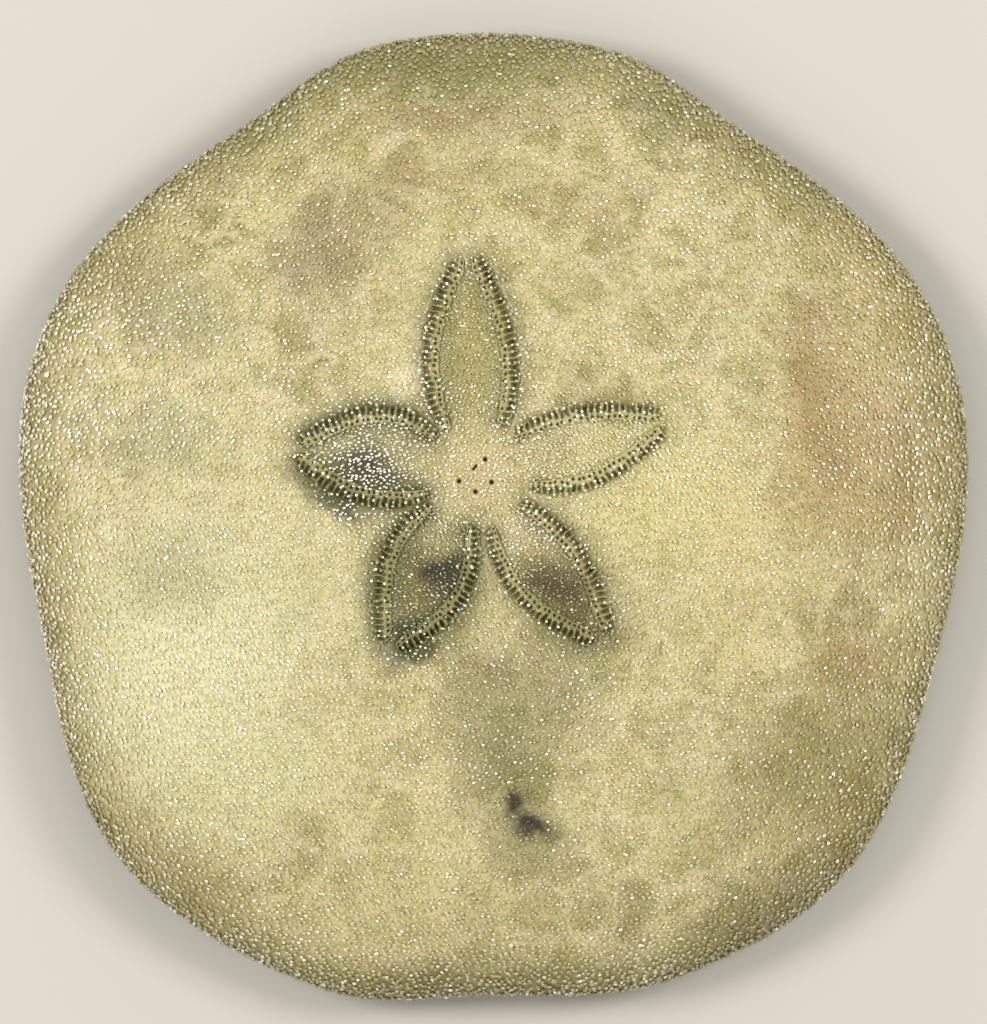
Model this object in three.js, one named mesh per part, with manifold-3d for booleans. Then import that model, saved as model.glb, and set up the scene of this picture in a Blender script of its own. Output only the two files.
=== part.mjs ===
// A small sand dollar, whole and still wearing its coat of short spines.
// Units are millimetres. +Z is up, +Y points to the animal's front, +X to its right seen from above.
// The solid is the outer envelope of the coat: its surface runs over the tips of the spines.
// The origin is on the resting plane, under the middle of the outline's box.

import * as THREE from 'three';
import { mergeVertices } from 'three/addons/utils/BufferGeometryUtils.js';
import Module from 'manifold-3d';

// ---- Driving dimensions -------------------------------------------------------------------------

// Turning points of the five-lobed outline, as [bearing in degrees from +X, radius in mm].
const OUTLINE = [
  [22, 10.06], [57, 9.52], [76, 9.97], [104, 10.05], [123, 9.6], [157, 10.09], [192, 9.6],
  [226, 10.5], [250, 10.37], [270, 9.88], [292, 10.25], [310, 10.4], [345, 9.6],
];

// Section from the crown, over the rounded rim, to the mouth, as [share of the radius, height in mm].
const CROWN_TO_RIM = [
  [0.1, 3.59], [0.2, 3.55], [0.3, 3.48], [0.4, 3.39], [0.5, 3.27], [0.6, 3.12],
  [0.69, 2.93], [0.77, 2.71], [0.84, 2.46], [0.9, 2.18], [0.945, 1.88], [0.978, 1.54], [1, 1.08],
];
const RIM_TO_MOUTH = [
  [0.996, 0.78], [0.979, 0.46], [0.945, 0.18], [0.905, 0.04], [0.87, 0], [0.52, 0], [0.36, 0.1],
  [0.2, 0.28], [0.09, 0.38], [0.062, 0.46], [0.055, 0.95],
];
const CROWN_HEIGHT = 3.6;
const MOUTH_ROOF = 1.1;
const STEPS_AROUND = 96;

// The centre from which the petals spread, a little in front of the middle.
const APICAL_CENTRE = { x: -0.3, y: 0.84 };

// The five petals: bearing of the axis, distance from the centre to the tip, and how far the edge
// on each side bows out. The phase is where in its arc an edge starts: low where petals crowd.
const PETALS = [
  { bearing: 92.8, length: 4.5, left: { bow: 0.83, phase: 0.25 }, right: { bow: 0.72, phase: 0.25 } },
  { bearing: 171.6, length: 3.72, left: { bow: 0.7, phase: 0.25 }, right: { bow: 0.95, phase: 0.25 } },
  { bearing: 242.5, length: 3.9, left: { bow: 0.74, phase: 0.15 }, right: { bow: 0.83, phase: 0.25 } },
  { bearing: 307.6, length: 4.15, left: { bow: 0.6, phase: 0.2 }, right: { bow: 0.74, phase: 0.2 } },
  { bearing: 16.7, length: 3.95, left: { bow: 0.65, phase: 0.35 }, right: { bow: 0.69, phase: 0.25 } },
];
const PETAL_START = 0.95;
const PETAL_TIP_GAP = 0.16;
const GROOVE_RADIUS = 0.25;
const GROOVE_LIFT = 0.13;
const GROOVE_SIDES = 8;
const GROOVE_STEPS = 12;

// The anus, a shallow round dimple under the rear edge.
const VENT = { x: 0.3, y: -6.9, radius: 0.55, sunk: 0.3 };

// ---- Shape functions ----------------------------------------------------------------------------

const wasm = await Module();
wasm.setup();

// Blends smoothly from one value to the next as the share goes from 0 to 1.
function ease(from, to, share) {
  return from + (to - from) * (0.5 - 0.5 * Math.cos(Math.PI * share));
}

// Radius of the outline at a bearing in radians.
function outlineRadius(angle) {
  const bearing = THREE.MathUtils.euclideanModulo(THREE.MathUtils.radToDeg(angle), 360);
  const [firstBearing, firstRadius] = OUTLINE[0];
  const [lastBearing, lastRadius] = OUTLINE[OUTLINE.length - 1];
  const ring = [[lastBearing - 360, lastRadius], ...OUTLINE, [firstBearing + 360, firstRadius]];
  const next = ring.findIndex(([edge]) => edge > bearing);
  const [startBearing, startRadius] = ring[next - 1];
  const [endBearing, endRadius] = ring[next];
  return ease(startRadius, endRadius, (bearing - startBearing) / (endBearing - startBearing));
}

// Height of the upper surface over a point of the plan.
function crownHeight(x, y) {
  const share = Math.hypot(x, y) / outlineRadius(Math.atan2(y, x));
  const section = [[0, CROWN_HEIGHT], ...CROWN_TO_RIM];
  const next = Math.max(1, section.findIndex(([edge]) => edge > share));
  const [startShare, startHeight] = section[next - 1];
  const [endShare, endHeight] = section[next];
  return THREE.MathUtils.mapLinear(share, startShare, endShare, startHeight, endHeight);
}

// A closed geometry as a solid that can be cut.
function solidFrom(geometry) {
  geometry.deleteAttribute('normal');
  geometry.deleteAttribute('uv');
  const merged = mergeVertices(geometry, 1e-5);
  return new wasm.Manifold(new wasm.Mesh({
    numProp: 3,
    vertProperties: new Float32Array(merged.attributes.position.array),
    triVerts: new Uint32Array(merged.index.array),
  }));
}

// The whole body: rings of points from the crown, over the rim, to the roof of the mouth.
function bodyGeometry() {
  const rings = [...CROWN_TO_RIM, ...RIM_TO_MOUTH];
  const points = [0, 0, CROWN_HEIGHT];
  for (const [share, height] of rings) {
    for (let step = 0; step < STEPS_AROUND; step += 1) {
      const angle = (2 * Math.PI * step) / STEPS_AROUND;
      const reach = share * outlineRadius(angle);
      points.push(reach * Math.cos(angle), reach * Math.sin(angle), height);
    }
  }
  points.push(0, 0, MOUTH_ROOF);

  const at = (ring, step) => 1 + ring * STEPS_AROUND + (step % STEPS_AROUND);
  const lastPoint = points.length / 3 - 1;
  const faces = [];
  for (let step = 0; step < STEPS_AROUND; step += 1) {
    faces.push(0, at(0, step), at(0, step + 1));
    for (let ring = 0; ring + 1 < rings.length; ring += 1) {
      faces.push(at(ring, step), at(ring + 1, step), at(ring + 1, step + 1));
      faces.push(at(ring, step), at(ring + 1, step + 1), at(ring, step + 1));
    }
    faces.push(at(rings.length - 1, step), lastPoint, at(rings.length - 1, step + 1));
  }
  const geometry = new THREE.BufferGeometry();
  geometry.setAttribute('position', new THREE.Float32BufferAttribute(points, 3));
  geometry.setIndex(faces);
  return geometry;
}

// The middle line of one pore band, which bows out from the petal's axis and closes on its tip.
function bandCurve(petal, side) {
  const angle = THREE.MathUtils.degToRad(petal.bearing);
  const edge = side > 0 ? petal.left : petal.right;
  const points = [];
  for (let step = 0; step <= GROOVE_STEPS; step += 1) {
    const share = step / GROOVE_STEPS;
    const along = THREE.MathUtils.lerp(PETAL_START, petal.length, share);
    const arc = Math.sin(Math.PI * THREE.MathUtils.lerp(edge.phase, 1, share));
    const across = side * (edge.bow * arc + PETAL_TIP_GAP * share);
    const x = APICAL_CENTRE.x + along * Math.cos(angle) - across * Math.sin(angle);
    const y = APICAL_CENTRE.y + along * Math.sin(angle) + across * Math.cos(angle);
    points.push(new THREE.Vector3(x, y, crownHeight(x, y) + GROOVE_LIFT));
  }
  return new THREE.CatmullRomCurve3(points);
}

// The round bar that hollows the groove of one pore band.
function grooveGeometry(petal, side) {
  const section = new THREE.Shape();
  section.absarc(0, 0, GROOVE_RADIUS, 0, 2 * Math.PI, false);
  return new THREE.ExtrudeGeometry(section, {
    extrudePath: bandCurve(petal, side),
    curveSegments: GROOVE_SIDES,
    steps: GROOVE_STEPS,
  });
}

// ---- The sand dollar ----------------------------------------------------------------------------

let body = solidFrom(bodyGeometry());
for (const petal of PETALS) {
  for (const side of [-1, 1]) {
    body = body.subtract(solidFrom(grooveGeometry(petal, side)));
  }
}
const vent = new THREE.SphereGeometry(VENT.radius, 16, 8).translate(VENT.x, VENT.y, -VENT.sunk);
body = body.subtract(solidFrom(vent));

const cut = body.getMesh();
const geometry = new THREE.BufferGeometry();
geometry.setAttribute('position', new THREE.BufferAttribute(cut.vertProperties, 3));
geometry.setIndex(new THREE.BufferAttribute(cut.triVerts, 1));
geometry.computeVertexNormals();

const coat = new THREE.MeshStandardMaterial({ color: '#b9ab7c', roughness: 0.6, metalness: 0 });
const sandDollar = new THREE.Mesh(geometry, coat);
sandDollar.name = 'sand_dollar';

const part = new THREE.Group();
part.add(sandDollar);

export default part;
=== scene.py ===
"""A small sand dollar, whole and in its coat of spines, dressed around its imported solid.

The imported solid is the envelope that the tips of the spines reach. This script reads the outline
and the section from it, lays the skin a spine's length beneath, presses the pore bands of the five
petals into the skin, and stands the spines on it. Lengths are metres, +Z is up and +Y is the front.
"""

import logging
import math
from dataclasses import dataclass
from enum import Enum

import bpy
import numpy as np
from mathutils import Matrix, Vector
from mathutils.kdtree import KDTree


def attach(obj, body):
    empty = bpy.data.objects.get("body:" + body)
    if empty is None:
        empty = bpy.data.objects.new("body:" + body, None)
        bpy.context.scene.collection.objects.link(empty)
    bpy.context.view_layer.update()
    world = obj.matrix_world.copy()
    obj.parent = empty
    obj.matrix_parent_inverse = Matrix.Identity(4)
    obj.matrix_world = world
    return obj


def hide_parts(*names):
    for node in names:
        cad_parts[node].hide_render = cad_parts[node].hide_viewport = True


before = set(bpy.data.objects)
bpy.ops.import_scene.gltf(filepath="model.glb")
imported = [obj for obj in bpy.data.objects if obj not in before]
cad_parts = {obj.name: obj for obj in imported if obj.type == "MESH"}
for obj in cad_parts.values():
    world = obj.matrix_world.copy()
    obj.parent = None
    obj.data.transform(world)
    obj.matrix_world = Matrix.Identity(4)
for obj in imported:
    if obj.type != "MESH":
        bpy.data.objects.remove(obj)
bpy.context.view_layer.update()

logging.basicConfig(level=logging.INFO, format="%(message)s")
LOG = logging.getLogger("sand_dollar")

MM = 0.001
NODE = "sand_dollar"
BODY = "root"
BAKE_MAP = "OFBake"


# ---- Colour and nodes ---------------------------------------------------------------------------


def linear(hex_colour: str) -> tuple[float, float, float, float]:
    """Turns an sRGB hex colour into linear light.

    Args:
        hex_colour: Six hex digits, with or without a leading #.

    Returns:
        Linear red, green and blue, with an alpha of 1.
    """
    digits = hex_colour.lstrip("#")
    steps = [int(digits[i : i + 2], 16) / 255 for i in (0, 2, 4)]
    red, green, blue = [s / 12.92 if s <= 0.04045 else ((s + 0.055) / 1.055) ** 2.4 for s in steps]
    return red, green, blue, 1.0


def add(tree: bpy.types.NodeTree, kind: str, inputs: dict | None = None, **settings) -> bpy.types.Node:
    """Adds one shader node, sets it up and links it.

    Args:
        tree: The node tree that gets the node.
        kind: The node's type, without the leading ShaderNode.
        inputs: Values or output sockets, by the input's name or index.
        settings: Properties of the node itself.

    Returns:
        The new node.
    """
    made = tree.nodes.new("ShaderNode" + kind)
    for name, value in settings.items():
        setattr(made, name, value)
    for key, value in (inputs or {}).items():
        if isinstance(value, bpy.types.NodeSocket):
            tree.links.new(value, made.inputs[key])
        else:
            made.inputs[key].default_value = value
    return made


# ---- The form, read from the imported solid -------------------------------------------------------


@dataclass
class Envelope:
    """The surface that the spine tips reach, as an outline and a section from crown to mouth.

    A point on it is given by its bearing around the middle and by its run, which is the length of
    the way from the crown over the rim to the mouth, on a body of the mean radius.
    """

    columns: int = 96
    section_bearing: float = math.radians(45)
    mouth_edge: float = 0.8 * MM
    pivot_height: float = 1.3 * MM
    smoothing: float = 0.12 * MM
    steps: int = 1600

    def __post_init__(self) -> None:
        """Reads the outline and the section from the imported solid's points."""
        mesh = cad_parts[NODE].data
        points = np.zeros(len(mesh.vertices) * 3)
        mesh.vertices.foreach_get("co", points)
        points = points.reshape(-1, 3)
        reach = np.hypot(points[:, 0], points[:, 1])
        bearing = np.arctan2(points[:, 1], points[:, 0]) % math.tau
        column = bearing / math.tau * self.columns
        in_column = np.abs(column - np.round(column)) < 0.002
        number = np.round(column).astype(int) % self.columns
        self.rim = np.zeros(self.columns)
        np.maximum.at(self.rim, number[in_column], reach[in_column])
        self.mean = float(self.rim.mean())

        chosen = int(round(self.section_bearing / math.tau * self.columns))
        here = in_column & (number == chosen) & (reach > 1e-6)
        rows = np.unique(np.round(np.column_stack([reach[here], points[here, 2]]), 8), axis=0)
        outer = rows[rows[:, 0] > self.mouth_edge]
        inner = rows[rows[:, 0] <= self.mouth_edge]
        inner = inner[inner[:, 1] < self.pivot_height]
        outer = outer[np.argsort(-np.arctan2(outer[:, 1] - self.pivot_height, outer[:, 0]))]
        inner = inner[np.argsort(inner[:, 1])]
        axis = points[reach < 1e-6, 2]
        crown, roof = [0.0, axis.max()], [0.0, axis[axis < self.pivot_height].max()]
        way = np.vstack([crown, outer, inner, roof])
        way[:, 0] *= self.mean / self.rim[chosen]

        lengths = np.hypot(*np.diff(way, axis=0).T)
        runs = np.concatenate([[0], np.cumsum(lengths)])
        self.length = float(runs[-1])
        self.run = np.linspace(0, self.length, self.steps)
        reach_line = np.interp(self.run, runs, way[:, 0])
        height_line = np.interp(self.run, runs, way[:, 1])
        half = int(self.smoothing / self.length * self.steps)
        share = self._smooth(reach_line, half, odd=True)
        self.share = share / share.max()
        self.height = self._smooth(height_line, half, odd=False)
        self.rim_run = float(self.run[np.argmax(self.share)])

    @staticmethod
    def _smooth(values: np.ndarray, half: int, odd: bool) -> np.ndarray:
        """Rounds a line off by averaging it twice over a short stretch.

        Args:
            values: The line's values at even steps.
            half: Half of the stretch, in steps.
            odd: Whether the line changes sign where it is mirrored at its ends.

        Returns:
            The rounded values.
        """
        out = values
        kernel = np.ones(2 * half + 1) / (2 * half + 1)
        for _ in range(2):
            sign = -1 if odd else 1
            head = sign * out[half:0:-1]
            tail = sign * out[-2 : -half - 2 : -1]
            out = np.convolve(np.concatenate([head, out, tail]), kernel, mode="valid")
        return out

    def radius(self, bearing: np.ndarray) -> np.ndarray:
        """The outline's radius at each bearing, on a smooth closed curve."""
        at = (np.asarray(bearing) % math.tau) / math.tau * self.columns
        return np.interp(at, np.arange(self.columns + 1), np.append(self.rim, self.rim[0]))

    def point(self, bearing: np.ndarray, run: np.ndarray) -> np.ndarray:
        """Finds points of the envelope.

        Args:
            bearing: Their bearings.
            run: Their runs.

        Returns:
            Rows of x, y and z.
        """
        reach = np.interp(run, self.run, self.share) * self.radius(bearing)
        height = np.interp(run, self.run, self.height)
        return np.stack([reach * np.cos(bearing), reach * np.sin(bearing), height], axis=-1)

    def normal(self, bearing: np.ndarray, run: np.ndarray) -> np.ndarray:
        """Finds which way the envelope faces, from steps along it and around it.

        Args:
            bearing: The points' bearings.
            run: Their runs.

        Returns:
            The outward normals, as rows of x, y and z.
        """
        turn, step, pole_gap = 0.01, 0.05 * MM, 0.2 * MM
        ahead = np.minimum(run + step, self.length)
        behind = np.maximum(run - step, 0)
        along = self.point(bearing, ahead) - self.point(bearing, behind)
        middle = np.clip(run, pole_gap, self.length - pole_gap)
        around = self.point(bearing + turn, middle) - self.point(bearing - turn, middle)
        normal = np.cross(along, around)
        return normal / np.maximum(np.linalg.norm(normal, axis=-1, keepdims=True), 1e-20)

    def sunk(self, bearing: np.ndarray, run: np.ndarray, depth: np.ndarray) -> np.ndarray:
        """Finds points beneath the envelope.

        Args:
            bearing: Their bearings.
            run: Their runs.
            depth: How deep each lies.

        Returns:
            Rows of x, y and z.
        """
        return self.point(bearing, run) - self.normal(bearing, run) * depth[:, None]

    def over(self, x: np.ndarray, y: np.ndarray) -> tuple[np.ndarray, np.ndarray]:
        """Finds the bearing and the run of the crown's points over places of the plan.

        Args:
            x: The places' x, in metres.
            y: Their y.

        Returns:
            The bearings and the runs.
        """
        bearing = np.arctan2(y, x)
        share = np.hypot(x, y) / self.radius(bearing)
        top = self.run <= self.rim_run
        return bearing, np.interp(share, self.share[top], self.run[top])


@dataclass(frozen=True)
class Petal:
    """One petal, in millimetres and degrees: its bearing, its length, and its two edges.

    Left and right are seen from the centre. An edge has the most that it bows out from the axis,
    and the phase of its arc at which it starts, which is low where two petals crowd each other.
    Moss is how green the skin is along its edges.
    """

    bearing: float
    length: float
    left: float
    right: float
    left_phase: float = 0.25
    right_phase: float = 0.25
    moss: float = 0.5


@dataclass
class Flower:
    """The five petals around the apical plate, and the middle lines of their ten pore bands."""

    centre: tuple[float, float] = (-0.3 * MM, 0.84 * MM)
    petals: tuple[Petal, ...] = (
        Petal(92.8, 4.5, 0.83, 0.72, moss=0.55),
        Petal(171.6, 3.72, 0.7, 0.95, moss=0.9),
        Petal(242.5, 3.9, 0.74, 0.83, 0.15, moss=0.85),
        Petal(307.6, 4.15, 0.6, 0.74, 0.2, 0.2, moss=0.5),
        Petal(16.7, 3.95, 0.65, 0.69, 0.35, moss=0.25),
    )
    start: float = 0.95
    tip_gap: float = 0.16
    samples: int = 240

    def edge(self, petal: Petal, side: int, share: np.ndarray) -> np.ndarray:
        """How far an edge is from its petal's axis.

        Args:
            petal: The petal.
            side: 1 for the edge to the left of the axis seen from the centre, -1 for the right.
            share: Shares of the way from the start of the petal to its tip.

        Returns:
            The distances in metres, negative on the right.
        """
        bow, phase = (petal.left, petal.left_phase) if side > 0 else (petal.right, petal.right_phase)
        arc = np.sin(math.pi * (phase + (1 - phase) * share)).clip(0)
        return side * (bow * arc + self.tip_gap * share) * MM

    def band(self, petal: Petal, side: int) -> np.ndarray:
        """The middle line of one pore band.

        Args:
            petal: The petal that it edges.
            side: 1 for the band to the left of the petal's axis seen from the centre, -1 for the right.

        Returns:
            Rows of x, y in metres, at even distances from the centre's end to the tip.
        """
        share = np.linspace(0, 1, self.samples)
        along = (self.start + (petal.length - self.start) * share) * MM
        across = self.edge(petal, side, share)
        turn = math.radians(petal.bearing)
        x = self.centre[0] + along * math.cos(turn) - across * math.sin(turn)
        y = self.centre[1] + along * math.sin(turn) + across * math.cos(turn)
        line = np.column_stack([x, y])
        runs = np.concatenate([[0], np.cumsum(np.hypot(*np.diff(line, axis=0).T))])
        even = np.linspace(0, runs[-1], self.samples)
        return np.column_stack([np.interp(even, runs, x), np.interp(even, runs, y)])

    def bands(self) -> list[tuple[np.ndarray, int, float]]:
        """All ten middle lines, each with its side and how mossy it is."""
        return [(self.band(petal, side), side, petal.moss) for petal in self.petals for side in (-1, 1)]

    def inside(self, x: np.ndarray, y: np.ndarray) -> np.ndarray:
        """Tells whether each place of the plan is within a petal.

        Args:
            x: The places' x, in metres.
            y: Their y.

        Returns:
            True for each place within one.
        """
        found = np.zeros(len(x), dtype=bool)
        for petal in self.petals:
            turn = math.radians(petal.bearing)
            away_x, away_y = x - self.centre[0], y - self.centre[1]
            along = away_x * math.cos(turn) + away_y * math.sin(turn)
            across = away_y * math.cos(turn) - away_x * math.sin(turn)
            share = (along / MM - self.start) / (petal.length - self.start)
            reach = share.clip(0, 1)
            wide = (across < self.edge(petal, 1, reach)) & (across > self.edge(petal, -1, reach))
            found |= wide & (share > 0) & (share < 1)
        return found


# The vent in the underside, and the two dark bare spots of the crown with the room that each needs.
VENT = (0.3 * MM, -6.9 * MM)
DARK_SPOTS = ((0.47 * MM, -5.88 * MM, 0.17 * MM), (0.86 * MM, -6.3 * MM, 0.19 * MM))


# ---- Mesh tools ---------------------------------------------------------------------------------


def start_fresh() -> None:
    """Leaves edit mode and deselects everything, so that an operator acts on the new piece only."""
    if bpy.context.object and bpy.context.object.mode != "OBJECT":
        bpy.ops.object.mode_set(mode="OBJECT")
    bpy.ops.object.select_all(action="DESELECT")


def open_up(piece: bpy.types.Object) -> None:
    """Selects one piece alone and goes into its edit mode with all of it selected.

    Args:
        piece: The piece.
    """
    start_fresh()
    bpy.context.view_layer.objects.active = piece
    piece.select_set(True)
    bpy.ops.object.mode_set(mode="EDIT")
    bpy.ops.mesh.select_all(action="SELECT")


def coordinates(piece: bpy.types.Object) -> np.ndarray:
    """Reads the piece's points.

    Args:
        piece: The piece.

    Returns:
        Rows of x, y and z.
    """
    points = np.zeros(len(piece.data.vertices) * 3)
    piece.data.vertices.foreach_get("co", points)
    return points.reshape(-1, 3)


def give_points(piece: bpy.types.Object, points: np.ndarray) -> None:
    """Moves the piece's points to new places."""
    piece.data.vertices.foreach_set("co", points.ravel())
    piece.data.update()


def give_values(piece: bpy.types.Object, name: str, values: np.ndarray) -> None:
    """Stores one number for each point, which the materials read by its name."""
    layer = piece.data.attributes.new(name, "FLOAT", "POINT")
    layer.data.foreach_set("value", np.asarray(values, dtype=np.float32))


def triangles(piece: bpy.types.Object) -> int:
    """How many triangles the piece's faces make."""
    return sum(len(face.vertices) - 2 for face in piece.data.polygons)


def hand_over(piece: bpy.types.Object, material: bpy.types.Material) -> bpy.types.Object:
    """Dresses a finished piece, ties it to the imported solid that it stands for, and reports it.

    Args:
        piece: The finished piece.
        material: The finish that it wears.

    Returns:
        The same piece.
    """
    piece.data.materials.clear()
    piece.data.materials.append(material)
    piece.data.shade_smooth()
    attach(piece, BODY)
    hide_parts(NODE)
    LOG.info("%-18s %7d triangles", piece.name, triangles(piece))
    return piece


def wrapped_grid(name: str, across: int, along: int) -> bpy.types.Object:
    """A flat grid that a caller rolls or bends into shape.

    Args:
        name: The piece's name.
        across: Its cells across.
        along: Its cells along.

    Returns:
        The grid, with its points in rows of across + 1.
    """
    start_fresh()
    bpy.ops.mesh.primitive_grid_add(x_subdivisions=across, y_subdivisions=along, size=1)
    piece = bpy.context.object
    piece.name = name
    return piece


def close_up(piece: bpy.types.Object, gap: float) -> None:
    """Merges the points that lie together and turns the faces outwards.

    Args:
        piece: The piece to close.
        gap: Points nearer than this become one.
    """
    open_up(piece)
    bpy.ops.mesh.remove_doubles(threshold=gap)
    bpy.ops.mesh.normals_make_consistent(inside=False)
    bpy.ops.object.mode_set(mode="OBJECT")


# ---- Finishes -----------------------------------------------------------------------------------


# A wash of pigment fades out at this many of its half-widths. Its middle is at this height and it
# reaches this far up and down, in millimetres, so that it thins over the rim and spares the underside.
WASH_SPREAD = 1.5
WASH_HEIGHT = 3.3
WASH_DEPTH = 3.0


@dataclass(frozen=True)
class Blotch:
    """A soft patch of pigment on the crown, in millimetres and degrees of the plan; a few are painted shade.

    It has its centre, half-widths and turn, its tint, and the share of the tint in its middle.
    """

    x: float
    y: float
    wide: float
    deep: float
    turn: float
    tint: str
    strength: float

    def frame(self) -> tuple[tuple[float, float, float], tuple[float, float, float]]:
        """Gives what brings a point, already turned back by the patch's turn, into its unit circle.

        Returns:
            The factors that points are multiplied by, and the shift that is then added.
        """
        turn = math.radians(self.turn)
        along = self.x * math.cos(turn) + self.y * math.sin(turn)
        across = self.y * math.cos(turn) - self.x * math.sin(turn)
        wide, deep, high = self.wide * WASH_SPREAD, self.deep * WASH_SPREAD, WASH_DEPTH
        return (1 / wide, 1 / deep, 1 / high), (-along / wide, -across / deep, -WASH_HEIGHT / high)


BLOTCHES = (
    # The pale ground of the left and rear, and the yellow one right of the petals.
    Blotch(-6.0, -2.0, 3.4, 2.6, 0, "#DCDAB4", 0.8),
    Blotch(-7.0, -4.0, 2.4, 2.4, 0, "#E2E0BC", 0.75),
    Blotch(-5.2, -5.6, 2.6, 1.5, 20, "#DAD8AE", 0.6),
    Blotch(3.5, 0.4, 2.0, 1.5, -15, "#DDD6A0", 0.75),
    Blotch(5.2, -1.2, 1.2, 2.6, 0, "#DCD0A0", 0.45),
    Blotch(-1.1, -6.6, 0.5, 3.0, 0, "#DAD2A6", 0.6),
    Blotch(-1.68, 2.75, 0.4, 0.45, 0, "#F3EBCA", 0.7),
    Blotch(-5.0, 1.9, 0.8, 2.2, 30, "#DAD5AC", 0.4),
    Blotch(-0.3, 0.9, 1.1, 0.9, 0, "#C6B783", 0.5),
    # The tan right side.
    Blotch(7.4, 1.8, 1.7, 3.0, 5, "#A88F52", 0.65),
    Blotch(6.6, 2.4, 0.5, 2.4, 8, "#9A8044", 0.5),
    Blotch(8.4, 0.6, 0.5, 2.0, -4, "#987C40", 0.5),
    Blotch(8.0, 5.4, 1.1, 2.0, 35, "#BFA565", 0.5),
    Blotch(7.4, -2.95, 1.0, 0.7, 0, "#A08048", 0.5),
    # The olive rear right, and painted shade along the edges.
    Blotch(6.9, -5.0, 2.3, 1.6, 30, "#8F8750", 0.75),
    Blotch(7.7, -6.8, 1.6, 1.1, 45, "#968444", 0.8),
    Blotch(5.4, -8.6, 3.0, 1.0, 35, "#6E5F34", 0.9),
    Blotch(-0.9, -9.7, 6.0, 0.65, 0, "#8A814E", 0.8),
    Blotch(-6.3, -7.6, 2.6, 0.7, -42, "#A79A66", 0.7),
    Blotch(-1.3, 9.6, 4.4, 1.1, 0, "#747838", 0.9),
    Blotch(-4.6, 8.5, 2.2, 0.8, 35, "#84884C", 0.8),
    Blotch(3.6, 8.5, 1.2, 0.7, -15, "#78783E", 0.75),
    Blotch(5.6, 7.2, 2.4, 0.6, -38, "#96924C", 0.7),
    Blotch(9.2, 2.0, 0.5, 4.0, 8, "#A08C50", 0.5),
    # The mauve and khaki clouds of the front, and the grey-green ones of the left.
    Blotch(-3.0, 5.8, 1.6, 0.9, 25, "#A1936C", 0.5),
    Blotch(-3.6, 5.3, 0.8, 1.3, -10, "#94856A", 0.45),
    Blotch(-0.9, 8.2, 2.6, 0.5, 0, "#A08E6A", 0.6),
    Blotch(-1.5, 7.0, 1.8, 0.4, 5, "#A5936A", 0.5),
    Blotch(1.6, 6.4, 1.6, 0.6, -10, "#B1A272", 0.4),
    Blotch(-1.6, -8.3, 3.4, 1.0, 0, "#D3CA9C", 0.5),
    Blotch(-7.5, 4.9, 1.0, 1.0, 0, "#A18E68", 0.6),
    Blotch(-6.4, 4.2, 1.3, 0.9, 0, "#92916A", 0.5),
    Blotch(-6.8, 1.6, 1.0, 0.8, 0, "#999A6E", 0.5),
    Blotch(-6.6, -1.2, 1.1, 0.9, 0, "#9FA072", 0.5),
    # The petals' own tints, and the dark patches in three of them.
    Blotch(-0.5, 3.6, 0.75, 1.6, 0, "#A09A54", 0.6),
    Blotch(-2.6, 1.2, 1.0, 0.8, -8, "#8C8A66", 0.75),
    Blotch(-2.6, 0.9, 0.8, 0.5, -12, "#3C3222", 0.9),
    Blotch(-3.2, 0.35, 0.7, 0.35, -25, "#26300F", 0.85),
    Blotch(-1.5, -1.3, 0.95, 1.4, 25, "#76703A", 0.85),
    Blotch(-0.88, -1.18, 0.5, 0.45, 20, "#2E250C", 0.95),
    Blotch(-1.7, -2.45, 0.65, 0.4, 35, "#2F3312", 0.9),
    Blotch(1.3, -1.75, 0.8, 1.1, 35, "#94854C", 0.75),
    Blotch(1.28, -1.5, 0.75, 0.5, -30, "#4C3E1B", 0.85),
    Blotch(1.9, -2.3, 0.6, 0.45, -40, "#66592C", 0.7),
    # The grey-olive field behind the petals, and the two dark spots.
    Blotch(-0.2, -3.8, 1.0, 1.4, 0, "#928C66", 0.6),
    Blotch(1.4, -3.4, 0.9, 1.3, 0, "#96906A", 0.55),
    Blotch(0.45, -5.4, 0.9, 1.2, 0, "#7E7C4A", 0.7),
    Blotch(0.8, -6.9, 0.8, 0.7, 0, "#958F64", 0.55),
    Blotch(0.46, -5.85, 0.32, 0.26, 20, "#2E2613", 0.94),
    Blotch(0.86, -6.3, 0.36, 0.32, -10, "#2A2311", 0.95),
)


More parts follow.
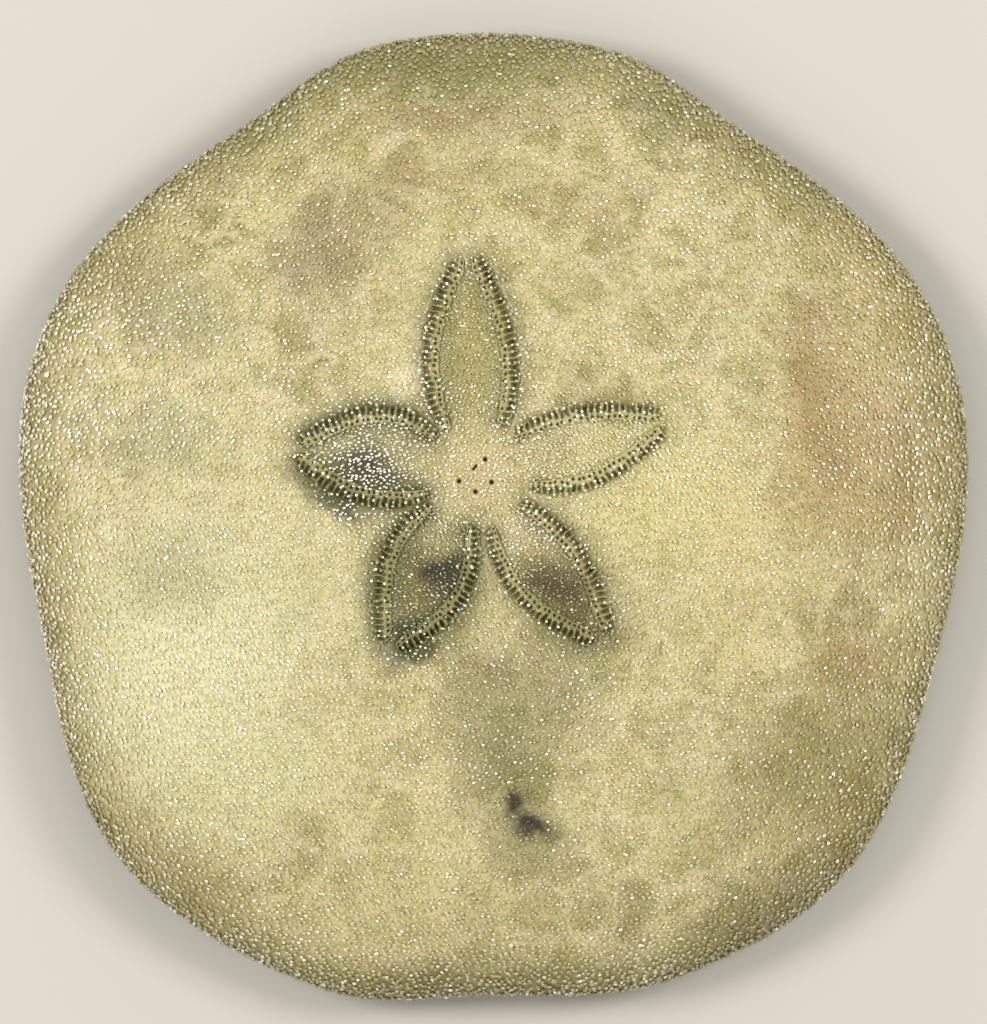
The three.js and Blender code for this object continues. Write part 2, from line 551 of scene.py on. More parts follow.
@dataclass(frozen=True)
class Pigment:
    """The ground colour of the living animal: cream, with khaki drifts, pale veins and blotches.

    Clouds give the size in millimetres, the tint, the noise where it starts and where it is full,
    and its most share. The hem is the darker edge under the rim. Some blotches are painted shade.
    """

    cream: str = "#C8C08E"
    khaki: str = "#A39867"
    mauve: str = "#A0906C"
    green: str = "#9FA268"
    rose: str = "#D8CDAE"
    vein: str = "#E9E2BC"
    hem: str = "#7F7440"
    moss: str = "#465222"
    khaki_size: float = 1.3
    mauve_size: float = 0.8
    fleck_size: float = 0.4
    hem_top: float = 2.2
    hem_foot: float = 0.9
    hem_share: float = 0.65
    vein_size: float = 1.1

    def colour(self, tree: bpy.types.NodeTree) -> bpy.types.NodeSocket:
        """Lays the pigment on object coordinates, taken in millimetres.

        Args:
            tree: The material's nodes.

        Returns:
            The colour's output socket.
        """
        place = add(tree, "TexCoord").outputs["Object"]
        scaled = add(tree, "VectorMath", {0: place, "Scale": 1 / MM}, operation="SCALE").outputs[0]
        drift = add(tree, "TexNoise", {"Vector": scaled, "Scale": 1.1, "Detail": 4.0, "Roughness": 0.6})
        shift = add(tree, "VectorMath", {0: drift.outputs["Color"], 1: (0.5, 0.5, 0.5)}, operation="SUBTRACT")
        strayed = add(
            tree, "VectorMath", {0: shift.outputs[0], 1: (1.2, 1.2, 0.0), 2: scaled}, operation="MULTIPLY_ADD"
        ).outputs[0]

        colour = linear(self.cream)
        clouds = (
            (self.khaki_size, self.khaki, 0.45, 0.66, 0.7),
            (self.mauve_size, self.mauve, 0.5, 0.68, 0.5),
            (self.fleck_size, self.green, 0.5, 0.64, 0.6),
            (self.fleck_size * 1.2, self.rose, 0.5, 0.64, 0.7),
        )
        for number, (size, tint, low, high, most) in enumerate(clouds):
            offset = add(tree, "VectorMath", {0: strayed, 1: (17.0 * number, 5.0, 3.0)}, operation="ADD")
            noise = add(
                tree,
                "TexNoise",
                {"Vector": offset.outputs[0], "Scale": 1 / size, "Detail": 4.0, "Roughness": 0.6},
            )
            share = add(
                tree,
                "MapRange",
                {"Value": noise.outputs["Fac"], "From Min": low, "From Max": high, "To Max": most},
            )
            colour = self._over(tree, share.outputs[0], colour, tint)
        net = add(
            tree, "TexVoronoi", {"Vector": strayed, "Scale": 1 / self.vein_size}, feature="DISTANCE_TO_EDGE"
        )
        share = add(
            tree,
            "MapRange",
            {"Value": net.outputs["Distance"], "From Min": 0.2, "From Max": 0.0, "To Max": 0.45},
        )
        colour = self._over(tree, share.outputs[0], colour, self.vein)

        turned = {0: strayed}
        for blotch in BLOTCHES:
            if blotch.turn not in turned:
                angle = -math.radians(blotch.turn)
                turned[blotch.turn] = add(
                    tree, "VectorRotate", {"Vector": strayed, "Angle": angle}, rotation_type="Z_AXIS"
                ).outputs[0]
            spread, start = blotch.frame()
            local = add(
                tree, "VectorMath", {0: turned[blotch.turn], 1: spread, 2: start}, operation="MULTIPLY_ADD"
            )
            far = add(tree, "VectorMath", {0: local.outputs[0]}, operation="LENGTH")
            share = add(
                tree,
                "MapRange",
                {"Value": far.outputs["Value"], "From Min": 1.0, "From Max": 0.2, "To Max": blotch.strength},
                interpolation_type="SMOOTHSTEP",
            )
            colour = self._over(tree, share.outputs[0], colour, blotch.tint)
        height = add(tree, "SeparateXYZ", {0: strayed}).outputs["Z"]
        share = add(
            tree,
            "MapRange",
            {"Value": height, "From Min": self.hem_top, "From Max": self.hem_foot, "To Max": self.hem_share},
        )
        colour = self._over(tree, share.outputs[0], colour, self.hem)
        moss = add(tree, "Attribute", attribute_name="moss").outputs["Fac"]
        return self._over(tree, moss, colour, self.moss)

    @staticmethod
    def _over(
        tree: bpy.types.NodeTree, share: bpy.types.NodeSocket, below: bpy.types.NodeSocket | tuple, tint: str
    ) -> bpy.types.NodeSocket:
        """Lays a tint over a colour.

        Args:
            tree: The material's nodes.
            share: How much of the tint shows.
            below: The colour beneath.
            tint: The tint, as an sRGB hex value.

        Returns:
            The mixed colour.
        """
        return add(tree, "Mix", {"Factor": share, 6: below, 7: linear(tint)}, data_type="RGBA").outputs[2]


def new_material(name: str) -> tuple[bpy.types.Material, bpy.types.NodeTree]:
    """Makes an empty material.

    Args:
        name: Its name.

    Returns:
        The material and its nodes.
    """
    material = bpy.data.materials.new(name)
    material.use_nodes = True
    material.node_tree.nodes.clear()
    return material, material.node_tree


@dataclass(frozen=True)
class SpineFinish:
    """Calcite spines, grown as clear single crystals under a thin living skin.

    The shaft takes the ground pigment, darkened towards the root as painted shade. The tip is bare
    and glassy, so it glints, and in some of the spines it is painted white as a painted glint.
    """

    name: str = "glassy_calcite_spine"
    painted_root_shade: str = "#E0DBC6"
    clear_tint: str = "#F7F1D2"
    painted_glint_tint: str = "#FFFEF8"
    least_clear: float = 0.03
    most_clear: float = 0.6
    painted_glint_above: float = 0.88
    roughness: float = 0.2
    ior: float = 1.6
    coat: float = 0.8
    coat_roughness: float = 0.1

    def build(self) -> bpy.types.Material:
        """Makes the material.

        Returns:
            The spine material.
        """
        material, tree = new_material(self.name)
        ground = Pigment().colour(tree)
        tip = add(tree, "Attribute", attribute_name="tip").outputs["Fac"]
        shade = add(tree, "Attribute", attribute_name="shade").outputs["Fac"]
        # Painted shade: each spine darkens towards its root, down among the others.
        root = add(tree, "MapRange", {"Value": tip, "From Min": 0.8, "From Max": 0.3})
        root_shaded = add(
            tree,
            "Mix",
            {"Factor": root.outputs[0], 6: ground, 7: linear(self.painted_root_shade)},
            data_type="RGBA",
            blend_type="MULTIPLY",
        )
        bare = add(tree, "MapRange", {"Value": tip, "From Min": 0.6, "From Max": 0.95})
        share = add(
            tree, "MapRange", {"Value": shade, "To Min": self.least_clear, "To Max": self.most_clear}
        ).outputs[0]
        clear = add(tree, "Math", {0: bare.outputs[0], 1: share}, operation="MULTIPLY")
        cleared = add(
            tree,
            "Mix",
            {"Factor": clear.outputs[0], 6: root_shaded.outputs[2], 7: linear(self.clear_tint)},
            data_type="RGBA",
        )
        # Painted glint: spines whose shade passes the threshold get a white tip.
        painted_glint_pick = add(
            tree,
            "MapRange",
            {"Value": shade, "From Min": self.painted_glint_above - 0.05, "From Max": self.painted_glint_above + 0.03},
        )
        painted_glint = add(tree, "Math", {0: bare.outputs[0], 1: painted_glint_pick.outputs[0]}, operation="MULTIPLY")
        tipped = add(
            tree,
            "Mix",
            {"Factor": painted_glint.outputs[0], 6: cleared.outputs[2], 7: linear(self.painted_glint_tint)},
            data_type="RGBA",
        )
        shader = add(
            tree,
            "BsdfPrincipled",
            {
                "Base Color": tipped.outputs[2],
                "Roughness": self.roughness,
                "IOR": self.ior,
                "Coat Weight": self.coat,
                "Coat Roughness": self.coat_roughness,
            },
        )
        add(tree, "OutputMaterial", {"Surface": shader.outputs[0]})
        return material


@dataclass(frozen=True)
class SkinFinish:
    """Living skin with its finest spines, too small to tell apart: soft, damp and finely grained."""

    name: str = "living_skin"
    painted_gap_shade: str = "#DED9C2"
    grain_pitch: float = 0.085 * MM
    grain_depth: float = 0.02 * MM
    roughness: float = 0.45

    def build(self) -> bpy.types.Material:
        """Makes the material.

        Returns:
            The skin material.
        """
        material, tree = new_material(self.name)
        ground = Pigment().colour(tree)
        place = add(tree, "TexCoord").outputs["Object"]
        grain = add(tree, "TexVoronoi", {"Vector": place, "Scale": 1 / self.grain_pitch})
        # Painted shade: the gaps between the grains, among the finest spines, are darkened.
        gap = add(
            tree,
            "MapRange",
            {"Value": grain.outputs["Distance"], "From Min": 0.2, "From Max": 0.8},
        )
        shade_painted = add(
            tree,
            "Mix",
            {"Factor": gap.outputs[0], 6: ground, 7: linear(self.painted_gap_shade)},
            data_type="RGBA",
            blend_type="MULTIPLY",
        )
        bump = add(
            tree,
            "Bump",
            {"Height": grain.outputs["Distance"], "Strength": 0.35, "Distance": self.grain_depth},
            invert=True,
        )
        shader = add(
            tree,
            "BsdfPrincipled",
            {"Base Color": shade_painted.outputs[2], "Roughness": self.roughness, "Normal": bump.outputs[0]},
        )
        add(tree, "OutputMaterial", {"Surface": shader.outputs[0]})
        return material


@dataclass(frozen=True)
class BandFinish:
    """Bare plate between the pores, whose damp hollows, where the tube feet come out, get painted shade."""

    name: str = "pore_band_plate"
    ridge_tint: str = "#8E8953"
    ridge_share: float = 0.55
    painted_pit_shade: str = "#1E200A"
    roughness: float = 0.38
    coat: float = 0.3

    def build(self) -> bpy.types.Material:
        """Makes the material.

        Returns:
            The pore band material.
        """
        material, tree = new_material(self.name)
        ground = Pigment().colour(tree)
        pit = add(tree, "Attribute", attribute_name="pit").outputs["Fac"]
        plate = add(
            tree, "Mix", {"Factor": self.ridge_share, 6: ground, 7: linear(self.ridge_tint)}, data_type="RGBA"
        )
        # Painted shade: the pits are darkened towards the pit colour.
        shade_painted = add(
            tree, "Mix", {"Factor": pit, 6: plate.outputs[2], 7: linear(self.painted_pit_shade)}, data_type="RGBA"
        )
        shader = add(
            tree,
            "BsdfPrincipled",
            {"Base Color": shade_painted.outputs[2], "Roughness": self.roughness, "Coat Weight": self.coat},
        )
        add(tree, "OutputMaterial", {"Surface": shader.outputs[0]})
        return material


# ---- Skin ---------------------------------------------------------------------------------------


@dataclass
class Skin:
    """The skin over the test, a spine's length beneath the envelope, closed at crown and mouth."""

    envelope: Envelope
    flower: Flower
    around: int = 360
    rings: int = 190
    crown_depth: float = 0.068 * MM
    rim_depth: float = 0.085 * MM
    under_depth: float = 0.5 * MM
    mouth_depth: float = 0.12 * MM
    furrow_depth: float = 0.16 * MM
    furrow_reach: float = 0.26 * MM
    moss_reach: float = 0.38 * MM
    trimmed: int = 14
    plate_centre: tuple[float, float] = (-0.33 * MM, 0.86 * MM)
    plate_reach: float = 0.72 * MM

    def __post_init__(self) -> None:
        """Plants the pore bands' middle lines in a tree, to find how near a place is to one."""
        bands = [(line[self.trimmed : -self.trimmed], moss) for line, _, moss in self.flower.bands()]
        lines = np.vstack([line for line, _ in bands])
        self.line_moss = np.concatenate([np.full(len(line), moss) for line, moss in bands])
        self.near = KDTree(len(lines))
        for number, (x, y) in enumerate(lines):
            self.near.insert((x, y, 0), number)
        self.near.balance()

    def near_band(self, x: np.ndarray, y: np.ndarray) -> tuple[np.ndarray, np.ndarray]:
        """Finds how far places of the plan are from the nearest pore band.

        Args:
            x: The places' x, in metres.
            y: Their y.

        Returns:
            The distances, and how mossy each place is.
        """
        found = [self.near.find((a, b, 0)) for a, b in zip(x, y)]
        gap = np.array([one[2] for one in found])
        moss = self.line_moss[[one[1] for one in found]]
        return gap, moss * np.exp(-((gap / self.moss_reach) ** 2))

    def depth(self, run: np.ndarray) -> np.ndarray:
        """Finds how deep the skin lies under the envelope, apart from the furrows.

        Args:
            run: The places' runs.

        Returns:
            The depths.
        """
        rim, end = self.envelope.rim_run, self.envelope.length
        knots = (
            (0, self.crown_depth),
            (rim * 0.7, self.crown_depth),
            (rim, self.rim_depth),
            (rim + 2.2 * MM, self.under_depth),
            (end - 3 * MM, self.under_depth),
            (end - 1.2 * MM, self.mouth_depth),
        )
        return np.interp(run, *zip(*knots))

    def build(self, material: bpy.types.Material) -> bpy.types.Object:
        """Rolls a fine grid into the closed skin and presses the furrows of the petals into it.

        Args:
            material: The skin's finish.

        Returns:
            The skin.
        """
        env = self.envelope
        piece = wrapped_grid("skin", self.around, self.rings)
        columns = self.around + 1
        count = len(piece.data.vertices)
        step = np.arange(count) % columns
        ring = np.arange(count) // columns
        bearing = step / self.around * math.tau
        run = ring / self.rings * env.length
        depth = self.depth(run)
        top = env.point(bearing, run)
        upper = run < env.rim_run * 0.75
        gap, moss = np.full(count, 1.0), np.zeros(count)
        gap[upper], moss[upper] = self.near_band(top[upper, 0], top[upper, 1])
        moss = np.maximum(moss, 0.85 * ((run - env.length + 0.75 * MM) / (0.2 * MM)).clip(0, 1))
        vent = ((0.4 * MM - np.hypot(top[:, 0] - VENT[0], top[:, 1] - VENT[1])) / (0.15 * MM)).clip(0, 0.8)
        moss = np.where(run > env.rim_run, np.maximum(moss, vent), moss)
        dip = np.clip(1 - gap / self.furrow_reach, 0, 1)
        away = np.hypot(top[:, 0] - self.plate_centre[0], top[:, 1] - self.plate_centre[1])
        dip = np.where(upper, np.maximum(dip, ((self.plate_reach - away) / (0.2 * MM)).clip(0, 1)), dip)
        depth = depth + self.furrow_depth * dip * dip * (3 - 2 * dip)
        give_points(piece, env.sunk(bearing, run, depth))
        give_values(piece, "moss", moss)
        close_up(piece, 0.002 * MM)
        return hand_over(piece, material)


# ---- Pore bands ---------------------------------------------------------------------------------


@dataclass
class PoreBands:
    """The ten bands of paired pores that edge the petals: a slot outside and a round pore inside."""

    envelope: Envelope
    flower: Flower
    skin: Skin
    pitch: float = 0.122 * MM
    half_width: float = 0.225 * MM
    inner_fade: float = 1.1 * MM
    tip_fade: float = 0.35 * MM
    steps_per_pair: int = 8
    cells_across: int = 18
    slot_across: float = 0.08 * MM
    slot_half_length: float = 0.12 * MM
    slot_half_width: float = 0.034 * MM
    slot_depth: float = 0.13 * MM
    pore_across: float = -0.115 * MM
    pore_radius: float = 0.033 * MM
    pore_depth: float = 0.1 * MM
    rise: float = 0.03 * MM
    ridge_rows: tuple[float, ...] = (-0.06 * MM, 0.06 * MM, 0.17 * MM)

    def __post_init__(self) -> None:
        """Draws the small differences from pore to pore."""
        rng = np.random.default_rng(5)
        self.reach = rng.uniform(0.6, 1.15, 512)
        self.shift = rng.normal(0, 0.018 * MM, 512)
        self.slant = rng.normal(0, 0.16, 512)
        self.tone = rng.uniform(0.45, 1.0, 512)

    def fade(self, along: np.ndarray, length: float) -> np.ndarray:
        """How wide a band is along its length, as a share of its full width: narrower at both ends."""
        share = np.minimum(along / self.inner_fade, (length - along) / self.tip_fade).clip(0, 1)
        return 0.5 + 0.5 * share * (2 - share)

    def hollow(self, along: np.ndarray, across: np.ndarray, first: int) -> tuple[np.ndarray, np.ndarray]:
        """How deep the pores are at places of a band, and how far each place is inside one.

        Args:
            along: The way along the band, in metres.
            across: The way across it at its full width, positive away from the petal.
            first: The number of its first pair of pores.

        Returns:
            The hollow's depth, and from 0 to 1 how far inside a pore it is.
        """
        waver = 0.012 * MM * np.sin(across / (0.045 * MM) + along / (0.21 * MM) + first)
        number = (np.floor(along / self.pitch).astype(int) + first) % len(self.reach)
        beat = (along / self.pitch) % 1.0
        offset = (beat - 0.5) * self.pitch + waver - self.slant[number] * across
        half = self.slot_half_length * self.reach[number]
        stray = across - self.shift[number]
        slot_end = np.maximum(np.abs(stray - self.slot_across) - half + self.slot_half_width, 0)
        flare = (1 + 0.8 * stray / (0.2 * MM)).clip(0.6, 1.35)
        slot = np.hypot(offset, slot_end) / (self.slot_half_width * flare)
        pore = np.hypot(offset, stray - self.pore_across) / self.pore_radius
        inside_slot = np.clip(1.4 - slot, 0, 1)
        inside_pore = np.clip(1.35 - pore, 0, 1)
        deep = self.slot_depth * inside_slot + self.pore_depth * inside_pore
        # The returned share marks where the pores get painted shade, most in a slot's outer half.
        outward = np.clip(0.3 + stray / (0.17 * MM), 0.3, 1)
        return deep, np.clip(inside_slot * outward + 0.8 * inside_pore, 0, 1) * self.tone[number]

    def place(
        self, line: np.ndarray, side: int, along: np.ndarray, across: np.ndarray
    ) -> tuple[np.ndarray, np.ndarray]:
        """Finds places of one band on the envelope.

        Args:
            line: The band's middle line.
            side: Which edge of the petal it is.
            along: The way along it.
            across: The way across it, positive away from the petal.

        Returns:
            The bearings and the runs.
        """
        runs = np.concatenate([[0], np.cumsum(np.hypot(*np.diff(line, axis=0).T))])
        slope = np.gradient(line, runs, axis=0)
        slope /= np.linalg.norm(slope, axis=1, keepdims=True)
        x, y = (np.interp(along, runs, line[:, k]) for k in (0, 1))
        slope_x, slope_y = (np.interp(along, runs, slope[:, k]) for k in (0, 1))
        return self.envelope.over(x - side * slope_y * across, y + side * slope_x * across)

    def build(self, material: bpy.types.Material) -> bpy.types.Object:
        """Shapes all ten bands and joins them.

        Args:
            material: The bands' finish.

        Returns:
            The joined bands.
        """
        pieces = [self.build_one(number, *band) for number, band in enumerate(self.flower.bands())]
        start_fresh()
        for piece in pieces:
            piece.select_set(True)
        bpy.context.view_layer.objects.active = pieces[0]
        bpy.ops.object.join()
        joined = bpy.context.object
        joined.name = "pore_bands"
        return hand_over(joined, material)

    def build_one(self, number: int, line: np.ndarray, side: int, moss: float) -> bpy.types.Object:
        """Bends a grid along one band, hollows its pores and closes it underneath.

        Args:
            number: The band's number, for its name.
            line: Its middle line.
            side: Which edge of the petal it is.
            moss: How green it is.

        Returns:
            The band.
        """
        length = float(np.hypot(*np.diff(line, axis=0).T).sum())
        pairs = int(round(length / self.pitch))
        rows = pairs * self.steps_per_pair
        under = 3
        around = self.cells_across + under
        piece = wrapped_grid(f"band_{number}", around, rows)
        count = len(piece.data.vertices)
        step = np.arange(count) % (around + 1)
        row = np.arange(count) // (around + 1)
        along = row / rows * length
        on_top = step <= self.cells_across
        share = np.where(on_top, step / self.cells_across, 1 - (step - self.cells_across) / under) * 2 - 1
        fade = self.fade(along, length)
        across = share * self.half_width * fade
        bearing, run = self.place(line, side, along, across)
        deep, inside = self.hollow(along / length * pairs * self.pitch, across / fade, 37 * number)
        inside = inside * (2 * fade - 1).clip(0.3, 1)
        edge = np.clip((np.abs(share) - 0.72) / 0.28, 0, 1)
        ends = (row == 0) | (row == rows)
        crown = 0.01 * MM * np.cos(math.tau * along / length * pairs) * np.cos(across / (0.06 * MM) + number)
        lift = self.rise + crown - deep - edge * edge * 0.16 * MM
        lift = np.where(on_top & ~ends, lift, -0.12 * MM)
        depth = self.skin.depth(run) - lift
        give_points(piece, self.envelope.sunk(bearing, run, depth))
        # The pit values paint shade into the hollows.
        give_values(piece, "pit", np.where(on_top, inside, 0))
        give_values(piece, "moss", moss * np.clip(0.5 + across / (2 * self.half_width), 0, 1))
        close_up(piece, 0.0005 * MM)
        return piece

    def ridge_places(self, rng: np.random.Generator) -> tuple[np.ndarray, np.ndarray, np.ndarray]:
        """The places of the small spines on the ridges between the pores.

        Args:
            rng: The source of the small irregularities.

        Returns:
            The bearings, the runs, and how mossy each place is.
        """
        bearings, runs, mosses = [], [], []
        for line, side, moss in self.flower.bands():
            length = float(np.hypot(*np.diff(line, axis=0).T).sum())
            pairs = int(round(length / self.pitch))
            for across in self.ridge_rows:
                along = np.arange(1, pairs) * length / pairs + rng.normal(0, 0.01 * MM, pairs - 1)
                stray = (across + rng.normal(0, 0.03 * MM, pairs - 1)) * self.fade(along, length)
                kept = rng.random(pairs - 1) < 0.75
                bearing, run = self.place(line, side, along[kept], stray[kept])
                bearings.append(bearing)
                runs.append(run)
                mosses.append(np.full(kept.sum(), moss * 0.6))
        return np.concatenate(bearings), np.concatenate(runs), np.concatenate(mosses)


@dataclass
class ApicalPlate:
    """The plate in the middle of the petals, with its four round pores and one slit."""

    envelope: Envelope
    skin: Skin
    half: float = 0.8 * MM
    cells: int = 96
    rise: float = 0.0
    pore_radius: float = 0.04 * MM
    pore_depth: float = 0.12 * MM
    pores: tuple[tuple[float, float], ...] = (
        (-0.162 * MM, 1.19 * MM),
        (-0.031 * MM, 0.723 * MM),
        (-0.358 * MM, 0.528 * MM),
        (-0.696 * MM, 0.746 * MM),
    )
    slit: tuple[float, float] = (-0.373 * MM, 1.026 * MM)
    slit_turn: float = 50.0
    slit_half_length: float = 0.055 * MM
    slit_half_width: float = 0.018 * MM

    def build(self, material: bpy.types.Material) -> bpy.types.Object:
        """Shapes the plate from a fine grid, sunk into the skin at its edges.

        Args:
            material: The plate's finish.

        Returns:
            The plate.
        """
        under = 3
        around = self.cells + under
        piece = wrapped_grid("apical_plate", around, self.cells)
        count = len(piece.data.vertices)
        step = np.arange(count) % (around + 1)
        row = np.arange(count) // (around + 1)
        on_top = (step <= self.cells) & (row > 0) & (row < self.cells)
        across = np.where(step <= self.cells, step / self.cells, 1 - (step - self.cells) / under) * 2 - 1
        along = row / self.cells * 2 - 1
        x, y = (self.skin.plate_centre[k] + way * self.half for k, way in enumerate((across, along)))
        bearing, run = self.envelope.over(x, y)
        inside = self._inside(x, y)
        edge = np.clip((np.hypot(across, along) - 0.75) / 0.25, 0, 2)
        lumps = 0.012 * MM * np.sin(x / (0.021 * MM) + 2 * np.sin(y / (0.04 * MM))) * np.sin(y / (0.019 * MM))
        lift = self.rise + lumps - edge * edge * 0.1 * MM - inside * self.pore_depth
        depth = self.skin.depth(run) - np.where(on_top, lift, -0.2 * MM)
        give_points(piece, self.envelope.sunk(bearing, run, depth))
        # The pit values paint shade into the pores and the slit.
        give_values(piece, "pit", np.where(on_top, inside, 0))
        close_up(piece, 0.0005 * MM)
        return hand_over(piece, material)

    def _inside(self, x: np.ndarray, y: np.ndarray) -> np.ndarray:
        """Finds how far inside an opening places of the plan are.

        Args:
            x: The places' x, in metres.
            y: Their y.

        Returns:
            From 0 outside to 1 well inside.
        """
        most = np.zeros(len(x))
        for pore_x, pore_y in self.pores:
            away = np.hypot(x - pore_x, y - pore_y) / self.pore_radius
            most = np.maximum(most, np.clip(1.5 - away, 0, 1))
        turn = math.radians(self.slit_turn)
        along = (x - self.slit[0]) * math.cos(turn) + (y - self.slit[1]) * math.sin(turn)
        across = (y - self.slit[1]) * math.cos(turn) - (x - self.slit[0]) * math.sin(turn)
        away = np.hypot(across, np.maximum(np.abs(along) - self.slit_half_length, 0)) / self.slit_half_width
        return np.maximum(most, np.clip(1.5 - away, 0, 1))

    def openings(self) -> tuple[tuple[float, float, float], ...]:
        """Where the coat leaves the plate bare: the place of each opening, and the room it needs."""
        rooms = [(x, y, 0.068 * MM) for x, y in self.pores]
        return (*rooms, (*self.slit, 0.06 * MM))


# ---- Spines -------------------------------------------------------------------------------------


class SpineForm(Enum):
    """The kinds of spine, each as rings of (radius, height, turn) from root to tip.

    Radius and height are shares of the girth and the length. Turn is how far the surface leans out
    from facing along the spine, as a share of a right angle. A last ring that has a radius is a
    flat cap.
    """

    BEAD = ((0.0, 0.0, 2.0), (1.0, 0.78, 0.75), (0.74, 1.0, 0.1))
    BLADE = ((0.0, 0.0, 2.0), (1.0, 0.2, 1.0), (0.62, 0.8, 0.9), (0.0, 1.0, 0.0))


@dataclass
class SpinePattern:
    """One spine of unit length and girth, modelled once, that a coat repeats."""

    form: SpineForm
    sides: int

    def __post_init__(self) -> None:
        """Draws the spine up from a ring and keeps its points, faces and bake layout."""
        start_fresh()
        rings = self.form.value
        radius, height, _ = rings[1]
        bpy.ops.mesh.primitive_circle_add(vertices=self.sides, radius=radius, location=(0, 0, height))
        piece = bpy.context.object
        bpy.ops.object.transform_apply(location=True, rotation=True, scale=True)
        bpy.ops.object.mode_set(mode="EDIT")
        bpy.ops.mesh.select_all(action="SELECT")
        bpy.ops.mesh.extrude_region_move(TRANSFORM_OT_translate={"value": (0, 0, -height)})
        bpy.ops.mesh.merge(type="CENTER")
        bpy.ops.object.mode_set(mode="OBJECT")
        for (low_radius, low, _), (high_radius, high, _) in zip(rings[1:], rings[2:]):
            self._select_ring(piece, low)
            bpy.ops.object.mode_set(mode="EDIT")
            bpy.ops.mesh.extrude_region_move(TRANSFORM_OT_translate={"value": (0, 0, high - low)})
            if high_radius > 0:
                grow = high_radius / low_radius
                bpy.ops.transform.resize(value=(grow, grow, 1), center_override=(0, 0, high))
            else:
                bpy.ops.mesh.merge(type="CENTER")
            bpy.ops.object.mode_set(mode="OBJECT")
        if rings[-1][0] > 0:
            self._select_ring(piece, rings[-1][1])
            bpy.ops.object.mode_set(mode="EDIT")
            bpy.ops.mesh.edge_face_add()
            bpy.ops.object.mode_set(mode="OBJECT")
        close_up(piece, 1e-5)
        open_up(piece)
        bpy.ops.mesh.quads_convert_to_tris()
        bpy.ops.object.mode_set(mode="OBJECT")
        self.points = coordinates(piece)
        corners = np.array([face.vertices[:] for face in piece.data.polygons])
        self.faces = self._in_order(corners)
        self.ring = np.argmin(np.abs(self.points[:, 2:3] - [height for _, height, _ in rings]), axis=1)
        self.normals = self._normals()
        self.layout = self._bake_layout()
        bpy.data.objects.remove(piece)

    @staticmethod
    def _in_order(faces: np.ndarray) -> np.ndarray:
        """Puts the faces in one fixed order, which the operators don't keep from run to run.

        Args:
            faces: The three points of each face.

        Returns:
            The same faces, each from its lowest point on, in rising order.
        """
        return np.array(sorted(np.roll(face, -np.argmin(face)).tolist() for face in faces))

    @staticmethod
    def _select_ring(piece: bpy.types.Object, height: float) -> None:
        """Selects the points at one height and nothing else.

        Args:
            piece: The spine.
            height: The height of its ring.
        """
        mesh = piece.data
        for item in (*mesh.polygons, *mesh.edges):
            item.select = False
        for vertex in mesh.vertices:
            vertex.select = abs(vertex.co.z - height) < 1e-4
        for edge in mesh.edges:
            edge.select = all(mesh.vertices[v].select for v in edge.vertices)

    def _normals(self) -> np.ndarray:
        """Finds which way the surface faces at each point, with the spine along z.

        Returns:
            Rows of x, y and z.
        """
        turn = np.array([turn for _, _, turn in self.form.value])[self.ring] * math.pi / 2
        around = np.arctan2(self.points[:, 1], self.points[:, 0])
        return np.column_stack([np.sin(turn) * np.cos(around), np.sin(turn) * np.sin(around), np.cos(turn)])

    def _bake_layout(self) -> np.ndarray:
        """Opens the spine like an umbrella in its square cell of the bake map.

        Returns:
            For each corner of each face, its place in a cell from -0.5 to 0.5.
        """
        top = len(self.form.value) - 1
        capped = self.form.value[-1][0] > 0
        out = np.zeros((len(self.faces), 3, 2))
        for number, face in enumerate(self.faces):
            for corner, point in enumerate(face):
                ring = self.ring[point]
                if ring == 0:
                    middle = self.points[face, :2].sum(axis=0)
                    out[number, corner] = middle / np.linalg.norm(middle) * 0.46
                elif ring < top or capped:
                    direction = self.points[point, :2] / np.linalg.norm(self.points[point, :2])
                    out[number, corner] = direction * 0.36 * (top - ring + capped) / (top - 1 + capped)
        return out.reshape(-1, 2)


